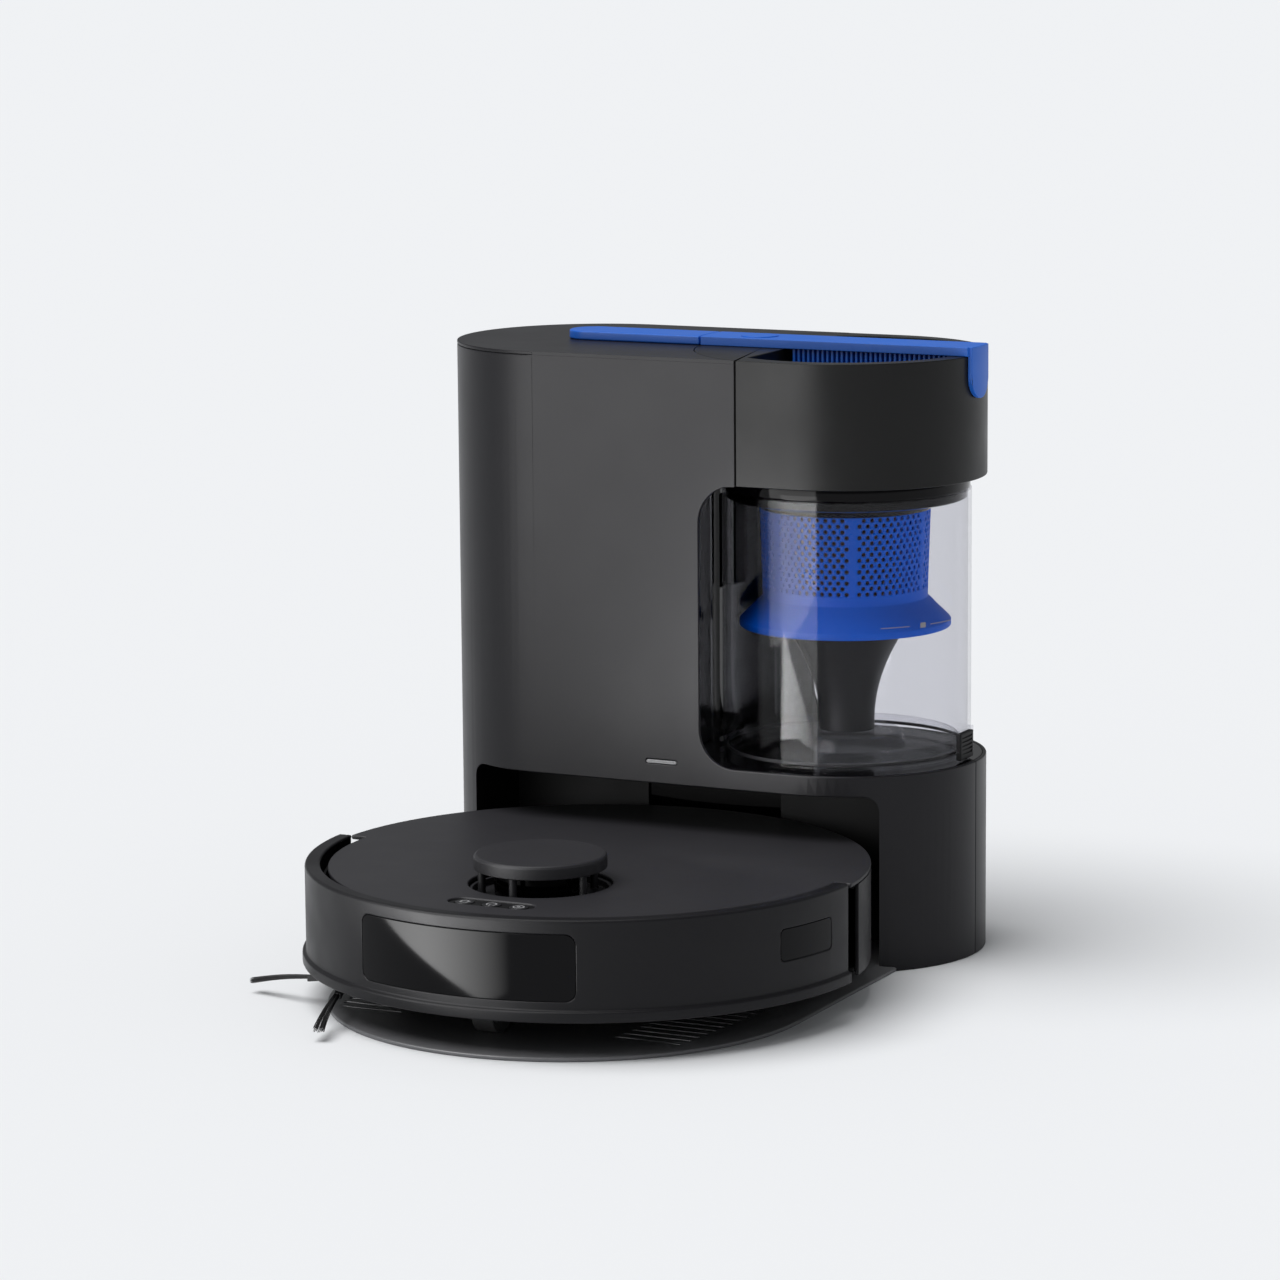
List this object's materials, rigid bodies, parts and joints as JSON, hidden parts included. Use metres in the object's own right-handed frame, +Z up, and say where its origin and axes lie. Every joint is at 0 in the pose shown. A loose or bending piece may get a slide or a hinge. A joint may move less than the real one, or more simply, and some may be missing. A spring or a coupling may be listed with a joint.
{
  "type": "robot vacuum with self-empty dock",
  "caption": "Round robot vacuum with a lidar turret, parked on a tall self-empty dock that has a clear lift-out cyclone dust bin.",
  "frame": {"origin": "on the floor, on the robot's vertical axis with the robot parked, at the base tray's underside", "axes": "+X along the dock towards the dust bin, -Y the way the robot faces and drives off, +Z up"},
  "size_m": [0.3724, 0.4586, 0.3887],
  "materials": {
    "shell_plastic": "satin moulded",
    "head_plastic": "satin moulded",
    "tray_plastic": "satin moulded",
    "robot_plastic": "satin moulded",
    "cover_plastic": "fine matt",
    "dark_plastic": "matt",
    "button_plastic": "satin",
    "cone_plastic": "satin",
    "smoke_plastic": "smoked",
    "battery_wrap": "shrink film",
    "circuit_board": "solder mask",
    "gloss_black": "high gloss",
    "blue_plastic": "satin",
    "vivid_blue_plastic": "semi gloss",
    "clear_plastic": "polished clear",
    "light_guide": "frosted",
    "soft_rubber": "matt",
    "tyre_rubber": "matt",
    "contact_metal": "plated",
    "motor_steel": "brushed",
    "cast_aluminium": "fine cast",
    "filter_paper": "pleated"
  },
  "bodies": {
    "dock": {"base_tray": "tray_plastic", "front_shell": "shell_plastic", "rear_shell": "shell_plastic", "dock_top": "shell_plastic", "bay_liner": "dark_plastic", "bin_cradle": "gloss_black", "top_strip": "blue_plastic", "status_light": "light_guide", "ir_window": "gloss_black", "port_seal": "soft_rubber", "suction_duct": "dark_plastic", "fan_housing": "dark_plastic", "fan_motor": "motor_steel", "exhaust_grille": "dark_plastic", "control_board": "circuit_board", "power_supply": "dark_plastic", "dock_feet": "soft_rubber"},
    "dock_impeller": {"fan_impeller": "cast_aluminium"},
    "charging_pins": {"charge_pins": "contact_metal"},
    "bin": {"dust_cup": "clear_plastic", "lid_hinge_pin": "motor_steel"},
    "lid": {"bin_lid": "clear_plastic", "lid_seal": "soft_rubber"},
    "latch": {"lid_latch": "dark_plastic"},
    "bin_top": {"bin_head": "head_plastic", "handle_bar": "blue_plastic", "grip_block": "blue_plastic", "head_collar": "gloss_black", "cyclone_shroud": "vivid_blue_plastic", "cyclone_cone": "cone_plastic", "pleated_filter": "filter_paper"},
    "bin_button": {"release_button": "blue_plastic"},
    "robot": {"chassis": "dark_plastic", "body_shell": "robot_plastic", "mid_deck": "dark_plastic", "lidar_cage": "cover_plastic", "lidar_motor": "motor_steel", "brush_guard": "dark_plastic", "brush_motors": "motor_steel", "battery": "battery_wrap", "suction_fan": "dark_plastic", "charge_pads": "contact_metal"},
    "bumper": {"bumper": "robot_plastic", "front_window": "gloss_black", "side_window": "gloss_black"},
    "cover": {"top_cover": "cover_plastic"},
    "dirt_box": {"dust_box": "smoke_plastic"},
    "lidar": {"lidar_head": "gloss_black"},
    "pulley": {"lidar_pulley": "cast_aluminium"},
    "home_key": {"home_button": "button_plastic"},
    "power_key": {"power_button": "button_plastic"},
    "spot_key": {"spot_button": "button_plastic"},
    "left_suspension": {"left_arm": "dark_plastic"},
    "right_suspension": {"right_arm": "dark_plastic"},
    "wheel_left": {"left_wheel": "tyre_rubber"},
    "wheel_right": {"right_wheel": "tyre_rubber"},
    "caster": {"caster_fork": "dark_plastic"},
    "caster_roller": {"caster_wheel": "tyre_rubber"},
    "roller": {"main_brush": "soft_rubber"},
    "sweeper": {"side_brush": "soft_rubber"}
  },
  "joints": [
    {"name": "robot_drive", "type": "slide", "parent": "dock", "child": "robot", "axis": [0, -1, 0], "range_m": [0, 0.4]},
    {"name": "bumper_press", "type": "slide", "parent": "robot", "child": "bumper", "axis": [0, 1, 0], "range_m": [0, 0.0035], "stiffness_N_per_m": 500, "springref_m": -0.004},
    {"name": "cover_lift", "type": "slide", "parent": "robot", "child": "cover", "axis": [0, 0, 1], "range_m": [0, 0.121]},
    {"name": "dust_box_lift", "type": "slide", "parent": "robot", "child": "dirt_box", "axis": [0, 0, 1], "range_m": [0, 0.073]},
    {"name": "lidar_spin", "type": "hinge", "parent": "robot", "child": "lidar", "pos_m": [0, -0.0664, 0.08], "axis": [0, 0, 1], "continuous": true},
    {"name": "lidar_pulley_spin", "type": "hinge", "parent": "robot", "child": "pulley", "pos_m": [0.038, -0.0404, 0.069], "axis": [0, 0, 1], "continuous": true},
    {"name": "home_press", "type": "slide", "parent": "robot", "child": "home_key", "axis": [0, 0, -1], "range_m": [0, 0.0012], "stiffness_N_per_m": 400, "springref_m": -0.001},
    {"name": "power_press", "type": "slide", "parent": "robot", "child": "power_key", "axis": [0, 0, -1], "range_m": [0, 0.0012], "stiffness_N_per_m": 400, "springref_m": -0.001},
    {"name": "spot_press", "type": "slide", "parent": "robot", "child": "spot_key", "axis": [0, 0, -1], "range_m": [0, 0.0012], "stiffness_N_per_m": 400, "springref_m": -0.001},
    {"name": "left_suspension_swing", "type": "hinge", "parent": "robot", "child": "left_suspension", "pos_m": [0.099, 0.055, 0.048], "axis": [-1, 0, 0], "range_deg": [0, 5], "stiffness_Nm_per_rad": 4, "springref_deg": -17.19},
    {"name": "right_suspension_swing", "type": "hinge", "parent": "robot", "child": "right_suspension", "pos_m": [-0.099, 0.055, 0.048], "axis": [-1, 0, 0], "range_deg": [0, 5], "stiffness_Nm_per_rad": 4, "springref_deg": -17.19},
    {"name": "left_wheel_spin", "type": "hinge", "parent": "left_suspension", "child": "wheel_left", "pos_m": [0.117, 0, 0.0373], "axis": [1, 0, 0], "continuous": true},
    {"name": "right_wheel_spin", "type": "hinge", "parent": "right_suspension", "child": "wheel_right", "pos_m": [-0.117, 0, 0.0373], "axis": [1, 0, 0], "continuous": true},
    {"name": "caster_swivel", "type": "hinge", "parent": "robot", "child": "caster", "pos_m": [0, -0.137, 0.035], "axis": [0, 0, 1], "continuous": true},
    {"name": "caster_roll", "type": "hinge", "parent": "caster", "child": "caster_roller", "pos_m": [0, -0.131, 0.0183], "axis": [1, 0, 0], "continuous": true},
    {"name": "main_brush_spin", "type": "hinge", "parent": "robot", "child": "roller", "pos_m": [0, -0.005, 0.027], "axis": [1, 0, 0], "continuous": true},
    {"name": "side_brush_spin", "type": "hinge", "parent": "robot", "child": "sweeper", "pos_m": [-0.1135, -0.105, 0.02], "axis": [0, 0, 1], "continuous": true},
    {"name": "bin_lift", "type": "slide", "parent": "dock", "child": "bin", "axis": [0, 0, 1], "range_m": [0, 0.3]},
    {"name": "cyclone_lift", "type": "slide", "parent": "bin", "child": "bin_top", "axis": [0, 0, 1], "range_m": [0, 0.17]},
    {"name": "lid_swing", "type": "hinge", "parent": "bin", "child": "lid", "pos_m": [0.0068, 0.1889, 0.1282], "axis": [0, 1, 0], "range_deg": [0, 56]},
    {"name": "latch_slide", "type": "slide", "parent": "bin", "child": "latch", "axis": [0, 0, 1], "range_m": [0, 0.003], "stiffness_N_per_m": 300, "springref_m": -0.003},
    {"name": "release_press", "type": "slide", "parent": "bin_top", "child": "bin_button", "axis": [0, 0, -1], "range_m": [0, 0.0022], "stiffness_N_per_m": 500, "springref_m": -0.001},
    {"name": "dock_fan_spin", "type": "hinge", "parent": "dock", "child": "dock_impeller", "pos_m": [-0.074, 0.1889, 0.338], "axis": [0, 0, 1], "continuous": true},
    {"name": "charging_pin_press", "type": "slide", "parent": "dock", "child": "charging_pins", "axis": [0, 1, 0], "range_m": [0, 0.003], "stiffness_N_per_m": 300, "springref_m": -0.002}
  ],
  "couplings": [
    {"joint": "cover_lift", "follows": "robot_drive", "ratio": 0.3},
    {"joint": "dust_box_lift", "follows": "robot_drive", "ratio": 0.18},
    {"joint": "lidar_pulley_spin", "follows": "lidar_spin", "ratio": 4},
    {"joint": "lid_swing", "follows": "bin_lift", "rad_per_m": 3.2}
  ]
}
